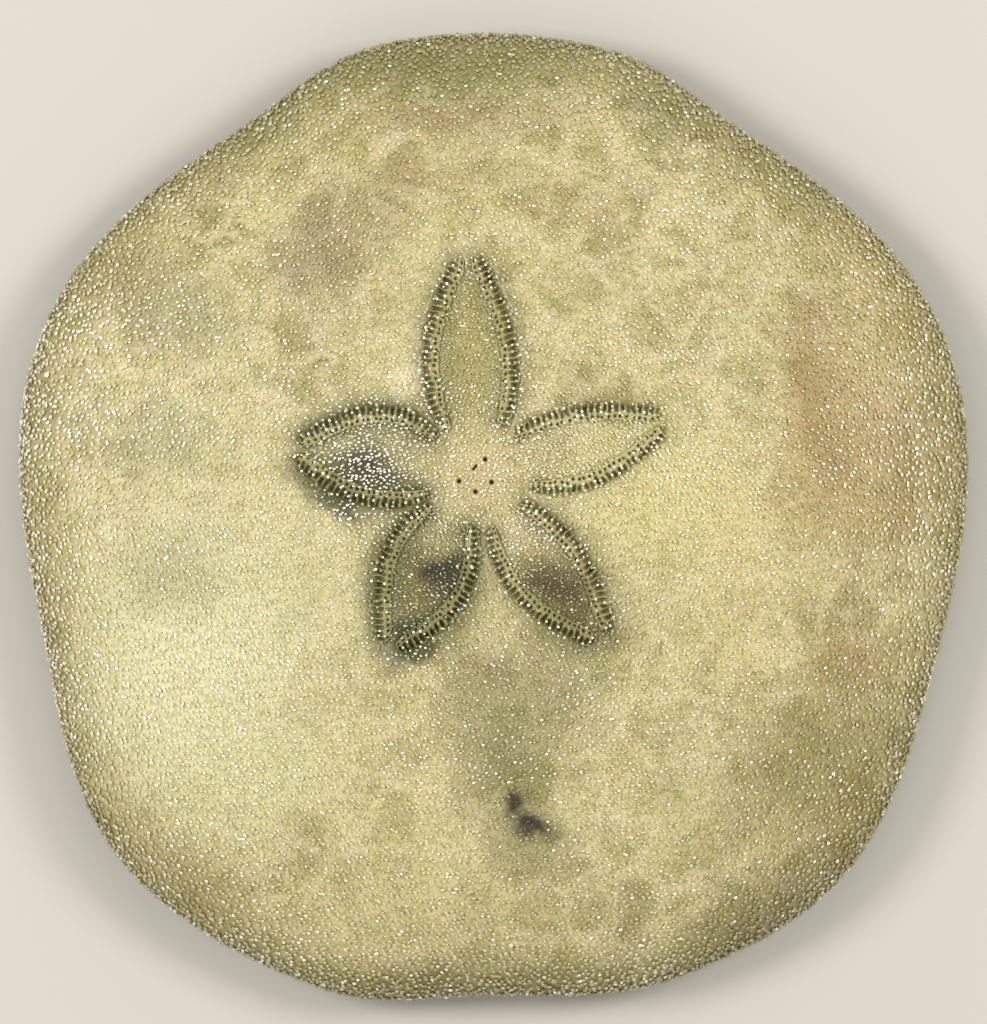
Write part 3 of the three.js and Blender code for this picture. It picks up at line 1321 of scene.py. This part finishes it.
@dataclass
class Coat:
    """Many spines of one pattern, joined in one mesh."""

    name: str
    pattern: SpinePattern
    broad: float = 1.0

    def build(
        self,
        roots: np.ndarray,
        heads: np.ndarray,
        girth: np.ndarray,
        shade: np.ndarray,
        moss: np.ndarray,
        material: bpy.types.Material,
    ) -> bpy.types.Object:
        """Stands a copy of the pattern on every root, its broad side along the rim.

        Args:
            roots: Where the spines stand.
            heads: Where their tips are.
            girth: Their widest radius.
            shade: A number from 0 to 1 for each, which varies its tone; the highest get a painted glint.
            moss: How green each is.
            material: Their finish.

        Returns:
            The joined spines.
        """
        points, faces, normals = self.pattern.points, self.pattern.faces, self.pattern.normals
        count, each = len(roots), len(points)
        axis = heads - roots
        unit = axis / np.linalg.norm(axis, axis=1, keepdims=True)
        rim = self.grain_way(roots)
        side = rim - unit * (rim * unit).sum(axis=1, keepdims=True)
        side /= np.linalg.norm(side, axis=1, keepdims=True)
        third = np.cross(unit, side)
        frames = np.stack([side, third, unit], axis=1)
        scale = np.column_stack([girth * self.broad, girth / self.broad, np.linalg.norm(axis, axis=1)])
        placed = roots[:, None, :] + np.einsum("pk,nk,nkd->npd", points, scale, frames)
        facing = np.einsum("pk,nkd->npd", normals, frames)
        corners = (faces[None] + (np.arange(count) * each)[:, None, None]).reshape(-1)
        mesh = bpy.data.meshes.new(self.name)
        mesh.vertices.add(count * each)
        mesh.vertices.foreach_set("co", placed.ravel())
        mesh.loops.add(len(corners))
        mesh.loops.foreach_set("vertex_index", corners)
        mesh.polygons.add(len(corners) // 3)
        mesh.polygons.foreach_set("loop_start", np.arange(0, len(corners), 3))
        mesh.update()
        mesh.validate()
        piece = bpy.data.objects.new(self.name, mesh)
        bpy.context.scene.collection.objects.link(piece)
        give_values(piece, "tip", np.tile(points[:, 2], count))
        give_values(piece, "shade", np.repeat(shade, each))
        give_values(piece, "moss", np.repeat(moss, each))
        self._lay_bake_map(mesh, count)
        hand_over(piece, material)
        mesh.normals_split_custom_set_from_vertices(facing.reshape(-1, 3))
        return piece

    @staticmethod
    def grain_way(roots: np.ndarray) -> np.ndarray:
        """Finds which way the broad sides lie: along the rim near it, more across the animal inside.

        Args:
            roots: Where the spines stand.

        Returns:
            Level directions, as rows of x, y and z.
        """
        reach = np.hypot(roots[:, 0], roots[:, 1])
        rim = np.column_stack([-roots[:, 1], roots[:, 0]]) / np.maximum(reach, 1e-9)[:, None]
        rim *= np.where(rim[:, :1] < 0, -1, 1)
        share = (0.3 + 0.7 * (reach / (9.6 * MM)).clip(0, 1) ** 5)[:, None]
        way = rim * share + np.array([1.0, 0.0]) * (1 - share)
        waver = 0.35 * np.sin(roots[:, 0] / (0.9 * MM) + 2 * np.sin(roots[:, 1] / (1.3 * MM)))
        turned = way + np.column_stack([-way[:, 1], way[:, 0]]) * waver[:, None]
        return np.column_stack([turned, np.zeros(len(roots))])

    def _lay_bake_map(self, mesh: bpy.types.Mesh, count: int) -> None:
        """Gives every spine its own cell of the bake map.

        Args:
            mesh: The joined spines.
            count: How many they are.
        """
        cells = int(math.ceil(math.sqrt(count)))
        number = np.arange(count)
        cell = np.column_stack([number % cells + 0.5, number // cells + 0.5])
        places = (cell[:, None, :] + self.pattern.layout[None]) / cells
        layer = mesh.uv_layers.new(name=BAKE_MAP)
        layer.data.foreach_set("uv", places.astype(np.float32).ravel())


def lattice(reach: float, pitch: float, rng: np.random.Generator, jitter: float) -> np.ndarray:
    """Spreads points in loose rows whose direction drifts, as tubercles grow over a test.

    Args:
        reach: How far from the middle the points go.
        pitch: Their spacing.
        rng: The source of the small irregularities.
        jitter: How far each strays, as a share of the pitch.

    Returns:
        Rows of x, y.
    """
    rise = pitch * math.sin(math.pi / 3)
    rows = int(reach * 1.25 / rise)
    columns = int(reach * 1.25 / pitch)
    row, column = np.mgrid[-rows : rows + 1, -columns : columns + 1]
    x = ((column + 0.5 * (row % 2)) * pitch).ravel()
    y = (row * rise).ravel()
    for swing, wave, phase in ((0.55, 7.3, 0.4), (0.3, 4.1, 2.2)):
        x = x + swing * MM * np.sin(math.tau * y / (wave * MM) + phase)
        y = y + swing * MM * np.sin(math.tau * x / (wave * 1.13 * MM) + 2 * phase)
    x += rng.normal(0, jitter * pitch, x.shape)
    y += rng.normal(0, jitter * pitch, y.shape)
    return np.column_stack([x, y])


@dataclass
class Planter:
    """Finds where spines stand on the skin and how they lean."""

    envelope: Envelope
    flower: Flower
    skin: Skin
    crowding: float = 0.74
    thinning: float = 0.24

    def on_crown(
        self, pitch: float, rng: np.random.Generator, jitter: float, past_rim: float
    ) -> tuple[np.ndarray, np.ndarray]:
        """Places over the crown and the rim.

        Args:
            pitch: The spines' spacing.
            rng: The source of the small irregularities.
            jitter: How far each strays, as a share of the pitch.
            past_rim: How far below the widest line they still stand.

        Returns:
            The bearings and the runs.
        """
        env = self.envelope
        most = env.rim_run + past_rim
        spots = lattice(most * 1.2, pitch, rng, jitter)
        bearing = np.arctan2(spots[:, 1], spots[:, 0])
        way = np.hypot(spots[:, 0], spots[:, 1]) * env.mean / env.radius(bearing)
        run = way * (self.crowding + self.thinning * way / most)
        kept = run < most
        return bearing[kept], run[kept]

    def on_underside(
        self, pitch: float, rng: np.random.Generator, jitter: float, past_rim: float, mouth: float
    ) -> tuple[np.ndarray, np.ndarray]:
        """Places over the underside.

        Args:
            pitch: The spines' spacing.
            rng: The source of the small irregularities.
            jitter: How far each strays, as a share of the pitch.
            past_rim: How far below the widest line they begin.
            mouth: How far from the end of the run, in the mouth, they stop.

        Returns:
            The bearings and the runs.
        """
        env = self.envelope
        most = env.length - env.rim_run - past_rim
        spots = lattice(most * 1.08, pitch, rng, jitter)
        bearing = np.arctan2(spots[:, 1], spots[:, 0])
        way = np.hypot(spots[:, 0], spots[:, 1]) * env.mean / env.radius(bearing)
        kept = (way < most) & (way > mouth)
        return bearing[kept], env.length - way[kept]

    def stand(
        self,
        bearing: np.ndarray,
        run: np.ndarray,
        lean: np.ndarray,
        stray: float,
        tip_depth: np.ndarray,
        rng: np.random.Generator,
        root_lift: float = 0.0,
    ) -> tuple[np.ndarray, np.ndarray]:
        """Stands spines on the skin, leaning away from the crown.

        Args:
            bearing: Their bearings.
            run: Their runs.
            lean: The tangent of their lean, positive away from the crown.
            stray: How much each strays from that lean.
            tip_depth: How deep their tips stay under the envelope.
            rng: The source of the straying.
            root_lift: How far above the skin they are rooted.

        Returns:
            The roots and the tips.
        """
        env = self.envelope
        normal = env.normal(bearing, run)
        step = 0.05 * MM
        along = env.point(bearing, run + step) - env.point(bearing, run - step)
        along /= np.maximum(np.linalg.norm(along, axis=1, keepdims=True), 1e-20)
        around = np.cross(normal, along)
        depth = self.skin.depth(run)
        root = env.point(bearing, run) - normal * (depth + 0.02 * MM - root_lift)[:, None]
        rise = np.maximum(depth + 0.02 * MM - root_lift - tip_depth, 0.03 * MM)
        ahead = lean + rng.normal(0, stray, len(run))
        aside = rng.normal(0, stray, len(run))
        head = root + rise[:, None] * (normal + along * ahead[:, None] + around * aside[:, None])
        return root, head


@dataclass(frozen=True)
class GlintPatch:
    """Where, in millimetres, a share of the crown's spine tips are painted white as glints."""

    x: float
    y: float
    wide: float
    deep: float
    share: float


# Patches of painted glints, most at the left and right rims, with fewer in the darker areas.
PAINTED_GLINT_PATCHES = (
    GlintPatch(-8.6, 1.8, 1.5, 3.6, 0.34),
    GlintPatch(-7.0, 3.5, 1.8, 2.2, 0.14),
    GlintPatch(9.0, 1.5, 1.0, 3.8, 0.2),
    GlintPatch(-6.0, -3.5, 3.4, 3.0, 0.12),
    GlintPatch(-2.6, 1.0, 1.2, 0.9, 0.4),
    GlintPatch(-3.2, 0.0, 1.0, 0.6, 0.3),
    GlintPatch(-1.3, 3.0, 0.8, 0.8, 0.2),
    GlintPatch(3.4, 0.6, 1.2, 0.8, 0.12),
    GlintPatch(0.04, 0.98, 0.14, 0.16, 0.95),
    GlintPatch(-0.4, 0.8, 0.9, 0.8, 0.2),
    GlintPatch(-1.4, -1.4, 1.1, 1.3, -0.05),
    GlintPatch(1.5, -1.9, 0.9, 1.0, -0.05),
    GlintPatch(-0.5, 3.2, 0.5, 1.2, -0.03),
    GlintPatch(7.4, -5.0, 2.5, 3.0, -0.03),
    GlintPatch(-1.0, 8.0, 5.0, 2.0, -0.05),
    GlintPatch(0.0, -8.6, 5.0, 1.6, -0.04),
)


@dataclass
class CrownCoat:
    """The bead-tipped spines of the crown: in loose rows outside the petals, close set inside."""

    planter: Planter
    openings: tuple[tuple[float, float, float], ...]
    pitch: float = 0.127 * MM
    girth: float = 0.037 * MM
    petal_pitch: float = 0.1 * MM
    petal_girth: float = 0.028 * MM
    band_room: float = 0.185 * MM
    sectors: int = 4
    past_rim: float = 0.9 * MM
    lean: float = 0.12
    stray: float = 0.24
    broad: float = 1.22
    plain_glint_share: float = 0.075

    def build(self, rng: np.random.Generator, finish: bpy.types.Material) -> None:
        """Plants and joins the spines of the crown.

        Args:
            rng: The source of the small irregularities.
            finish: The spines' finish.
        """
        planter, env = self.planter, self.planter.envelope
        pattern = SpinePattern(SpineForm.BEAD, 5)
        bearing, run = planter.on_crown(self.pitch, rng, 0.26, self.past_rim)
        bearing, run, moss = self._beside_bands(bearing, run, False, rng)
        tip_depth = rng.uniform(0.0, 0.025, len(run)) * MM
        root, head = planter.stand(bearing, run, np.full(len(run), self.lean), self.stray, tip_depth, rng)
        girth = self.girth * rng.uniform(0.7, 1.15, len(run)) * (0.8 + 0.25 * (run / env.rim_run) ** 2)
        shade = self._tone_and_glints(root, rng)
        sector = ((bearing % math.tau) / math.tau * self.sectors).astype(int) % self.sectors
        for number in range(self.sectors):
            mine = sector == number
            coat = Coat(f"crown_spines_{number + 1}", pattern, self.broad)
            coat.build(root[mine], head[mine], girth[mine], shade[mine], moss[mine], finish)

        bearing, run = planter.on_crown(self.petal_pitch, rng, 0.24, self.past_rim)
        bearing, run, moss = self._beside_bands(bearing, run, True, rng)
        tip_depth = rng.uniform(0.01, 0.03, len(run)) * MM
        root, head = planter.stand(bearing, run, np.full(len(run), self.lean), self.stray, tip_depth, rng)
        girth = self.petal_girth * rng.uniform(0.8, 1.15, len(run))
        coat = Coat("petal_spines", pattern, self.broad)
        coat.build(root, head, girth, self._tone_and_glints(root, rng), moss, finish)

    def _tone_and_glints(self, roots: np.ndarray, rng: np.random.Generator) -> np.ndarray:
        """Draws each spine's tone, with more white tips, as painted glints, in the glint patches, in
        clusters.

        Args:
            roots: Where the spines stand.
            rng: The source of the draws.

        Returns:
            A number from 0 to 1 for each spine.
        """
        x, y = roots[:, 0] / MM, roots[:, 1] / MM
        share = np.full(len(roots), self.plain_glint_share)
        for spot in PAINTED_GLINT_PATCHES:
            away = np.hypot((x - spot.x) / spot.wide, (y - spot.y) / spot.deep)
            share += spot.share * np.exp(-(away**2))
        cluster = np.zeros(len(roots))
        for size in (0.35, 0.55, 0.9):
            turn, start = rng.uniform(0, math.tau, 2)
            cluster += np.sin((x * math.cos(turn) + y * math.sin(turn)) / size + start)
            cluster += np.sin((y * math.cos(turn) - x * math.sin(turn)) / size * 1.3 - start)
        share = (share * (1 + 0.28 * cluster)).clip(0.01, 0.97)
        return rng.random(len(roots)) ** (math.log(0.88) / np.log(1 - share))

    def _beside_bands(
        self, bearing: np.ndarray, run: np.ndarray, within: bool, rng: np.random.Generator
    ) -> tuple[np.ndarray, np.ndarray, np.ndarray]:
        """Keeps the places inside or outside the petals, and leaves the bands and openings bare.

        Args:
            bearing: The places' bearings.
            run: Their runs.
            within: Whether the places inside the petals are kept, or those outside.
            rng: The source of the ragged edge.

        Returns:
            The kept bearings and runs, and how mossy each is.
        """
        spot = self.planter.envelope.point(bearing, run)
        upper = run < 0.8 * self.planter.envelope.rim_run
        gap, moss = self.planter.skin.near_band(spot[:, 0], spot[:, 1])
        inside = upper & self.planter.flower.inside(spot[:, 0], spot[:, 1])
        room = np.where(inside, 0.78, 1) * self.band_room + rng.normal(0, 0.03 * MM, len(run))
        kept = ((gap > room) | ~upper) & (inside == within)
        for x, y, size in self.openings:
            bare = np.hypot(spot[:, 0] - x, spot[:, 1] - y) < size
            kept &= ~(upper & bare) | ((rng.random(len(run)) < 0.3) & (size > 0.1 * MM))
        return bearing[kept], run[kept], np.where(upper, moss, 0)[kept]


@dataclass
class BandCoat:
    """The small glossy spines on the ridges between the pores."""

    planter: Planter
    bands: PoreBands
    girth: float = 0.028 * MM

    def build(self, rng: np.random.Generator, finish: bpy.types.Material) -> None:
        """Plants and joins the spines of the pore bands.

        Args:
            rng: The source of the small irregularities.
            finish: The spines' finish.
        """
        bearing, run, moss = self.bands.ridge_places(rng)
        lift = self.bands.rise - 0.02 * MM
        tip_depth = rng.uniform(0.0, 0.04, len(run)) * MM
        root, head = self.planter.stand(bearing, run, np.full(len(run), 0.1), 0.3, tip_depth, rng, lift)
        girth = self.girth * rng.uniform(0.75, 1.25, len(run))
        coat = Coat("band_spines", SpinePattern(SpineForm.BEAD, 6))
        coat.build(root, head, girth, rng.random(len(run)), moss, finish)


@dataclass
class UnderCoat:
    """The longer, pointed walking spines of the underside, parted by the five food grooves."""

    planter: Planter
    pitch: float = 0.2 * MM
    girth: float = 0.04 * MM
    past_rim: float = 0.85 * MM
    mouth: float = 1.25 * MM
    groove_half_width: float = 0.12 * MM
    groove_reach: float = 6.4 * MM
    vent_room: float = 0.3 * MM

    def build(self, rng: np.random.Generator, finish: bpy.types.Material) -> None:
        """Plants and joins the spines of the underside.

        Args:
            rng: The source of the small irregularities.
            finish: The spines' finish.
        """
        bearing, run = self.planter.on_underside(self.pitch, rng, 0.18, self.past_rim, self.mouth)
        kept = ~self._bare(self.planter.envelope.point(bearing, run), rng)
        bearing, run = bearing[kept], run[kept]
        tip_depth = rng.uniform(0.0, 0.08, len(run)) * MM
        root, head = self.planter.stand(bearing, run, np.full(len(run), -0.55), 0.2, tip_depth, rng)
        girth = self.girth * rng.uniform(0.85, 1.15, len(run))
        coat = Coat("walking_spines", SpinePattern(SpineForm.BLADE, 5))
        coat.build(root, head, girth, rng.random(len(run)) * 0.5, np.zeros(len(run)), finish)

    def _bare(self, spot: np.ndarray, rng: np.random.Generator) -> np.ndarray:
        """Whether each place is in a food groove, which runs to the mouth, or at the vent.

        Args:
            spot: The places.
            rng: The source of the grooves' ragged edges.

        Returns:
            True for each place that stays bare.
        """
        bare = np.hypot(spot[:, 0] - VENT[0], spot[:, 1] - VENT[1]) < self.vent_room
        for petal in self.planter.flower.petals:
            turn = math.radians(petal.bearing)
            along = spot[:, 0] * math.cos(turn) + spot[:, 1] * math.sin(turn)
            across = spot[:, 1] * math.cos(turn) - spot[:, 0] * math.sin(turn)
            across += 0.25 * MM * np.sin(along / (1.4 * MM))
            taper = 1 - 0.5 * along / self.groove_reach
            wide = self.groove_half_width * rng.uniform(0.7, 1.2, len(spot)) * taper
            bare |= (along > 0) & (along < self.groove_reach) & (np.abs(across) < wide)
        return bare


@dataclass
class Mouth:
    """The tips of the five teeth, and the ring of short spines that guards them."""

    teeth: int = 5
    tooth_girth: float = 0.13 * MM
    tooth_root: tuple[float, float] = (0.66 * MM, 1.0 * MM)
    tooth_tip: tuple[float, float] = (0.06 * MM, 0.74 * MM)
    guards: int = 30
    guard_girth: float = 0.04 * MM
    guard_root: tuple[float, float] = (0.74 * MM, 0.62 * MM)
    guard_tip: tuple[float, float] = (0.4 * MM, 0.5 * MM)

    def build(self, rng: np.random.Generator, finish: bpy.types.Material) -> None:
        """Sets the teeth and the guarding spines in the mouth, pointing to its middle.

        Args:
            rng: The source of the small irregularities.
            finish: The finish of both.
        """
        rows = (
            ("mouth_teeth", self.teeth, self.tooth_girth, self.tooth_root, self.tooth_tip, 0.02),
            ("mouth_spines", self.guards, self.guard_girth, self.guard_root, self.guard_tip, 0.08),
        )
        for name, count, girth, root, tip, stray in rows:
            bearing = (np.arange(count) + 0.5) / count * math.tau + rng.normal(0, stray, count)
            ends = [
                np.column_stack([reach * np.cos(bearing), reach * np.sin(bearing), np.full(count, height)])
                for reach, height in (root, tip)
            ]
            coat = Coat(name, SpinePattern(SpineForm.BLADE, 8))
            coat.build(*ends, np.full(count, girth), np.full(count, 0.84), np.zeros(count), finish)


# ---- Studio -------------------------------------------------------------------------------------


@dataclass(frozen=True)
class Lamp:
    """A round soft lamp: its place and width in millimetres, and its power in watts."""

    name: str
    place: tuple[float, float, float]
    width: float
    power: float


@dataclass
class Studio:
    """A pale floor, soft light from both sides, and a camera that looks straight down."""

    view_centre: tuple[float, float] = (0.01 * MM, 0.114 * MM)
    view_height: float = 21.09 * MM
    focus_height: float = 1.4 * MM
    distance: float = 220 * MM
    sensor: float = 36.0
    floor_width: float = 600 * MM
    floor_tint: str = "#C9C8C4"
    sky_tint: str = "#F4F1EA"
    sky_strength: float = 0.6
    lamp_tint: str = "#FFF9EC"
    bounces: int = 4
    bounces_of_a_kind: int = 2
    lamps: tuple[Lamp, ...] = (
        Lamp("lamp_left", (-80, 15, 95), 45, 0.074),
        Lamp("lamp_right", (80, 25, 95), 45, 0.066),
        Lamp("lamp_front", (15, 80, 110), 60, 0.012),
        Lamp("lamp_rear", (-15, -80, 110), 60, 0.012),
    )

    def build(self) -> None:
        """Sets the floor, the lights and the camera."""
        self._floor()
        self._lights()
        self._camera()
        self._bounces()

    def _floor(self) -> None:
        """Lays the plain pale floor."""
        start_fresh()
        bpy.ops.mesh.primitive_plane_add(size=self.floor_width)
        floor = bpy.context.object
        floor.name = "floor"
        material, tree = new_material("pale_card")
        shader = add(tree, "BsdfPrincipled", {"Base Color": linear(self.floor_tint), "Roughness": 0.8})
        add(tree, "OutputMaterial", {"Surface": shader.outputs[0]})
        floor.data.materials.append(material)

    def _lights(self) -> None:
        """Sets a soft sky and the lamps, which all face the animal."""
        world = bpy.data.worlds.new("soft_sky")
        bpy.context.scene.world = world
        world.use_nodes = True
        sky = world.node_tree.nodes["Background"]
        sky.inputs["Color"].default_value = linear(self.sky_tint)
        sky.inputs["Strength"].default_value = self.sky_strength
        for lamp in self.lamps:
            data = bpy.data.lights.new(lamp.name, "AREA")
            data.shape = "DISK"
            data.size = lamp.width * MM
            data.energy = lamp.power
            data.color = linear(self.lamp_tint)[:3]
            hung = bpy.data.objects.new(lamp.name, data)
            bpy.context.scene.collection.objects.link(hung)
            hung.location = Vector(lamp.place) * MM
            hung.rotation_euler = (-Vector(lamp.place)).to_track_quat("-Z", "Y").to_euler()

    def _camera(self) -> None:
        """Looks straight down, with the animal's front at the top."""
        data = bpy.data.cameras.new("camera")
        data.sensor_width = self.sensor
        data.lens = self.sensor * self.distance / self.view_height
        data.clip_start = 1 * MM
        camera = bpy.data.objects.new("camera", data)
        bpy.context.scene.collection.objects.link(camera)
        camera.location = (*self.view_centre, self.focus_height + self.distance)
        bpy.context.scene.camera = camera
        bpy.context.scene.view_settings.view_transform = "Standard"

    def _bounces(self) -> None:
        """Ends each light path in the felt of spines where further bounces no longer show."""
        paths = bpy.context.scene.cycles
        paths.max_bounces = self.bounces
        paths.diffuse_bounces = self.bounces_of_a_kind
        paths.glossy_bounces = self.bounces_of_a_kind


# ---- The whole ----------------------------------------------------------------------------------


def main() -> None:
    """Builds the sand dollar from the skin outwards, then its studio."""
    rng = np.random.default_rng(20)
    envelope = Envelope()
    flower = Flower()
    skin = Skin(envelope, flower)
    bands = PoreBands(envelope, flower, skin)
    planter = Planter(envelope, flower, skin)

    spine_finish = SpineFinish().build()
    skin.build(SkinFinish().build())
    bands.build(BandFinish().build())
    plate = ApicalPlate(envelope, skin)
    plate.build(BandFinish(name="apical_plate_skin", ridge_tint="#B8A878", painted_pit_shade="#3E320F").build())
    CrownCoat(planter, (*plate.openings(), *DARK_SPOTS)).build(rng, spine_finish)
    # The band spines get white tips, as painted glints, from a lower threshold.
    BandCoat(planter, bands).build(rng, SpineFinish(name="glassy_band_spine", painted_glint_above=0.6).build())
    UnderCoat(planter).build(rng, spine_finish)
    Mouth().build(rng, spine_finish)
    Studio().build()


if __name__ == "__main__":
    main()
